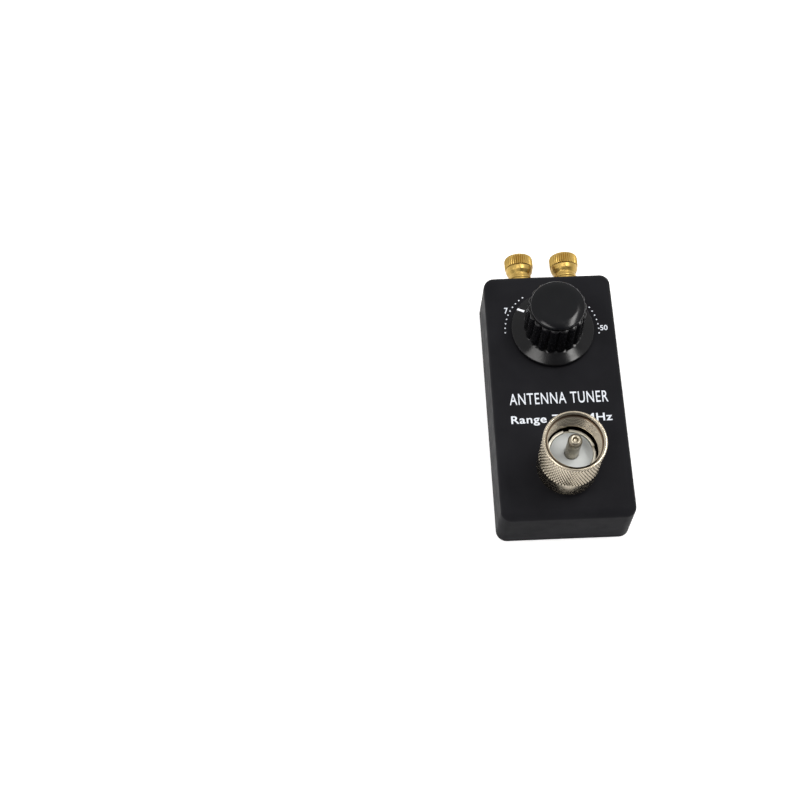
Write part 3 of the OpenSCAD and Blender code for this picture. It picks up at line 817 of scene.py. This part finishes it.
# The knurl: diamonds round the ring, half diamonds up it, and divisions of each half diamond
KNURL_STARTS = 64
KNURL_HALVES = 10
KNURL_FINE = 2
KNURL_FOOT = 10.1
KNURL_TOP = RING_TOP - 0.95
KNURL_DEPTH = 0.36
KNURL_STEEPNESS = 1.3

# The thread inside, 24 turns to the inch
THREAD_ROOT = 7.95
THREAD_CREST = 7.35
THREAD_PITCH = 1.058
THREAD_TURNS = 7
THREAD_FOOT = RING_TOP - 8.9


def knurl_height(i, j):
    """Height of a diamond knurl at fine column i and row j: 0 in its valleys, 1 on its points"""
    def rise(x):
        return 1 - abs(2 * (x % 1) - 1)
    column, row = i / KNURL_FINE, j / KNURL_FINE
    return min(1, KNURL_STEEPNESS * min(rise((column + row) / 2), rise((column - row) / 2)))


def add_knurl(shape, steps):
    """Rings of a diamond knurl, their faces split along its valleys. It returns the first and last ring"""
    rings = []
    for j in range(KNURL_HALVES * KNURL_FINE + 1):
        height = KNURL_FOOT + (KNURL_TOP - KNURL_FOOT) * j / (KNURL_HALVES * KNURL_FINE)
        ring = []
        for i in range(steps):
            angle = TURN * i / steps
            reach = RING_RADIUS - KNURL_DEPTH * (1 - knurl_height(i, j))
            ring.append(shape.verts.new(around(angle, reach, height)))
        rings.append(ring)
    for j, (lower, upper) in enumerate(zip(rings, rings[1:])):
        for i in range(steps):
            after = (i + 1) % steps
            if (i // KNURL_FINE + j // KNURL_FINE) % 2 == 0:
                add_face(shape, (lower[i], lower[after], upper[after]))
                add_face(shape, (lower[i], upper[after], upper[i]))
            else:
                add_face(shape, (lower[i], lower[after], upper[i]))
                add_face(shape, (lower[after], upper[after], upper[i]))
    return rings[0], rings[-1]


def make_ring():
    """A smooth band that swells towards its foot, the knurl, the rim, and the thread inside"""
    shape = bmesh.new()
    steps = 2 * KNURL_STARTS * KNURL_FINE
    band = rounded([(RING_BORE, RING_FOOT, 0), (8.2, RING_FOOT, 0.2), (8.88, 3, 0.6), (8.88, 4, 2),
                    (8.35, 9.6, 0.3), (8.5, 9.9, 0)])
    lip = rounded([(8.6, RING_TOP - 0.8, 0), (8.9, RING_TOP - 0.75, 0.1), (8.98, RING_TOP, 0.3),
                   (8.45, RING_TOP, 0.1), (8, RING_TOP - 0.4, 0.05), (THREAD_ROOT, RING_TOP - 0.6, 0)])
    inside = rounded([(THREAD_ROOT, THREAD_FOOT - 0.1, 0), (THREAD_ROOT, RING_FLOOR, 0.3),
                      (RING_BORE, RING_FLOOR, 0.1), (RING_BORE, RING_FOOT, 0)], steps=3)
    outer = [add_ring(shape, r, h, steps) for r, h in band]
    knurl_foot, knurl_top = add_knurl(shape, steps)
    rim = [add_ring(shape, r, h, steps) for r, h in lip]
    bore = [add_ring(shape, r, h, steps) for r, h in inside[:-1]]
    bridge_all(shape, outer + [knurl_foot])
    bridge_all(shape, [knurl_top] + rim)
    add_thread(shape, bore[0], rim[-1], THREAD_ROOT, THREAD_CREST, THREAD_PITCH, THREAD_TURNS, THREAD_FOOT)
    bridge_all(shape, bore + [outer[0]])
    make("ring_knurled", shape, "nickel_ring", "ring", PLUG, replaces=("coupling_ring",),
         smooth=RING_SMOOTH_ANGLE)


TUBE_TOP = (high("plug_body").z - PANEL_Z) / MM
INSULATOR_TOP = (high("plug_insulator").z - PANEL_Z) / MM
PIN_TOP = (high("centre_pin").z - PANEL_Z) / MM
STUB_FOOT = -6.8
SEAT_FOOT = 9.6
NOTCHES = 4
NOTCH_TURN = 8
NOTCH_WIDTH = 1.7


def make_plug_body():
    """From the stub under the panel up past the flange and neck to the tube, then down its inside"""
    profile = rounded([(4, STUB_FOOT, 0.15), (5.5, STUB_FOOT, 0.2), (5.5, 0, 0),
                       (7.6, 0, 0.1), (7.6, 1.3, 0.2), (6, 1.3, 0), (6, 4.8, 0),
                       (6.95, 4.8, 0.15), (6.95, TUBE_TOP, 0.15), (6.2, TUBE_TOP, 0.1),
                       (6.2, SEAT_FOOT, 0), (5, SEAT_FOOT, 0), (5, 2, 0), (4, 2, 0)], closed=True, steps=4)
    notches = []
    for k in range(NOTCHES):
        notch = block((3, NOTCH_WIDTH, 3), (6.5, 0, TUBE_TOP + 0.1))
        notches.append(moved(notch, turn=NOTCH_TURN + 360 * k / NOTCHES))
    make("plug_shell", lathe(profile, 144, closed=True), "nickel_body", "case", PLUG,
         replaces=("plug_body",), cutter=merged(*notches))


def make_insulator():
    """The insulator fills the plug's body, with a shallow seat round the pin"""
    seat = INSULATOR_TOP - 0.4
    profile = rounded([(1.63, -4, 0), (3.95, -4, 0), (3.95, 2.05, 0), (4.95, 2.05, 0),
                       (4.95, SEAT_FOOT + 0.05, 0), (6.1, SEAT_FOOT + 0.05, 0),
                       (6.1, INSULATOR_TOP, 0.12), (2.12, INSULATOR_TOP, 0.1),
                       (2.05, seat, 0), (1.63, seat, 0)], closed=True, steps=4)
    make("plug_dielectric", lathe(profile, 96, closed=True), "insulator", "case", PLUG,
         replaces=("plug_insulator",))


def make_pin():
    """A stem down through the insulator, the contact above it, and its hollow tip"""
    contact_foot = INSULATOR_TOP - 0.35
    hollow = PIN_TOP - 0.9
    profile = rounded([(0, STUB_FOOT, 0), (1.6, STUB_FOOT, 0.1), (1.6, contact_foot, 0), (2, contact_foot, 0),
                       (2, PIN_TOP - 0.8, 0.9), (1.25, PIN_TOP, 0.3), (0.8, PIN_TOP - 0.1, 0.1),
                       (0.45, hollow, 0.1), (0, hollow, 0)], steps=6)
    make("pin_contact", lathe(profile, 64), "silver_pin", "case", PLUG, replaces=("centre_pin",))


# ---- Binding posts, drawn along +Z and laid along +Y from the end wall ----

SERRATIONS = 38
SERRATION_DEPTH = 0.36
SERRATION_STEEPNESS = 2.2

STUD_ROOT = 1.68
STUD_RADIUS = 2.0
STUD_PITCH = 0.7
STUD_TURNS = 8
STUD_THREAD_FOOT = 3
STUD_START = -7.6
STUD_END = 10.2
COLLAR_RADIUS = 3.75

NUT_BORE = 2.05
NUT_RADIUS = 4.5
NUT_FOOT = 3.65
NUT_END_ARC = 10


def serration(angle):
    """Depth of the thumb nut's straight grooves at an angle"""
    share = (angle * SERRATIONS / TURN) % 1
    return SERRATION_DEPTH * (1 - min(1, SERRATION_STEEPNESS * min(share, 1 - share)))


def brass_at(side):
    """Brass whose tool rings run round one post"""
    return turned_metal(f"brass_{side}", BRASS, 0.36, POSTS[side], axis="Y", tarnish=0.8)


def stud_shape():
    """A plain shank through the wall, the collar outside, and the threaded end"""
    shape = bmesh.new()
    steps = 48
    shank = rounded([(1.6, STUD_START, 0), (STUD_RADIUS, STUD_START + 0.3, 0), (STUD_RADIUS, -0.05, 0),
                     (COLLAR_RADIUS, -0.05, 0.1), (COLLAR_RADIUS, 2.75, 0.2),
                     (STUD_ROOT, 2.75, 0), (STUD_ROOT, 2.9, 0)], steps=3)
    inner = [add_ring(shape, r, h, steps) for r, h in shank]
    outer = [add_ring(shape, r, h, steps) for r, h in ((STUD_ROOT, 9.9), (1.4, 10.15))]
    tip = [shape.verts.new((0, 0, STUD_END))] * steps
    foot = [shape.verts.new((0, 0, STUD_START))] * steps
    bridge_all(shape, [foot] + inner)
    add_thread(shape, inner[-1], outer[0], STUD_ROOT, STUD_RADIUS, STUD_PITCH, STUD_TURNS, STUD_THREAD_FOOT)
    bridge_all(shape, outer + [tip])
    return shape


def washer_shape():
    profile = rounded([(NUT_BORE, 2.8, 0.05), (COLLAR_RADIUS, 2.8, 0.15),
                       (COLLAR_RADIUS, 3.6, 0.15), (NUT_BORE, 3.6, 0.05)], closed=True, steps=3)
    return lathe(profile, 64, closed=True)


def nut_shape():
    """From the hub outwards: hub ring, waist, bulged cone, groove, serrated head with a rounded end.
    The head's points end with their share of the serrations' depth"""
    hub = rounded([(NUT_BORE, 0, 0), (3.6, 0, 0.1), (3.6, 0.5, 0.15), (3.3, 0.6, 0.05), (3.3, 0.9, 0.5),
                   (4.05, 2.0, 1.6), (4.32, 3.1, 1.0), (4.32, 3.35, 0.1), (3.8, 3.4, 0.05),
                   (3.8, 3.52, 0)], steps=6)
    head = [(NUT_RADIUS - 0.1, 3.6, 0.6), (NUT_RADIUS, 3.7, 1), (NUT_RADIUS, 6.3, 1)]
    for k in range(1, NUT_END_ARC + 1):
        a = math.radians(90 * k / NUT_END_ARC)
        head.append((NUT_RADIUS - 1 + math.cos(a), 6.4 + math.sin(a), 1 - k / NUT_END_ARC))
    face = [(3.2, 7.4), (2.35, 7.4), (NUT_BORE, 7.15)]
    points = [(r, h + NUT_FOOT, *share) for r, h, *share in hub + head + face]
    return lathe(points, SERRATIONS * 6, closed=True, drop=serration)


def make_posts():
    for side, place in POSTS.items():
        metal = brass_at(side)
        make(f"stud_{side}", stud_shape(), "brass", "case", place,
             replaces=("post_studs",), material=metal, along_y=True)
        make(f"washer_{side}", washer_shape(), "brass", f"{side}_washer", place,
             replaces=(f"clamp_washer_{side}",), material=metal, along_y=True)
        make(f"nut_{side}", nut_shape(), "brass", f"{side}_nut", place,
             replaces=(f"thumb_nut_{side}",), material=metal, along_y=True)


# ---- Inside pieces keep their CAD shape ----

INSIDE = {
    "knob_bush": "brass", "knob_set_screw": "black_steel", "capacitor_housing": "capacitor_plastic",
    "capacitor_base": "capacitor_board", "capacitor_collar": "brass", "capacitor_shaft": "plate_aluminium",
    "rotor_plates": "plate_aluminium", "stator_plates": "plate_aluminium", "capacitor_lugs": "tinned_brass",
    "capacitor_screws": "steel_screw", "plug_lock_nut": "nickel_body", "ground_tag": "tinned_brass",
    "solder_tags": "tinned_brass", "post_lock_washers": "steel_screw", "post_nuts": "brass",
    "toroid_core": "ferrite", "primary_winding": "enamel_wire", "left_lead": "wire_red",
    "loop_lead": "wire_black",
}


def finish_inside():
    """Gives the CAD nodes that stay as they are their materials"""
    for node, material in INSIDE.items():
        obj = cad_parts[node]
        obj.data.materials.clear()
        obj.data.materials.append(MATERIALS[material])


# ---- The whole ----

scene.view_settings.view_transform = "Standard"
make_camera()
make_world()
make_floor()
for softbox, (direction, size, power) in SOFTBOXES.items():
    make_softbox(softbox, direction, size, power)
make_case()
make_print()
make_knob()
make_knob_cap()
make_pointer()
make_ring()
make_plug_body()
make_insulator()
make_pin()
make_posts()
finish_inside()
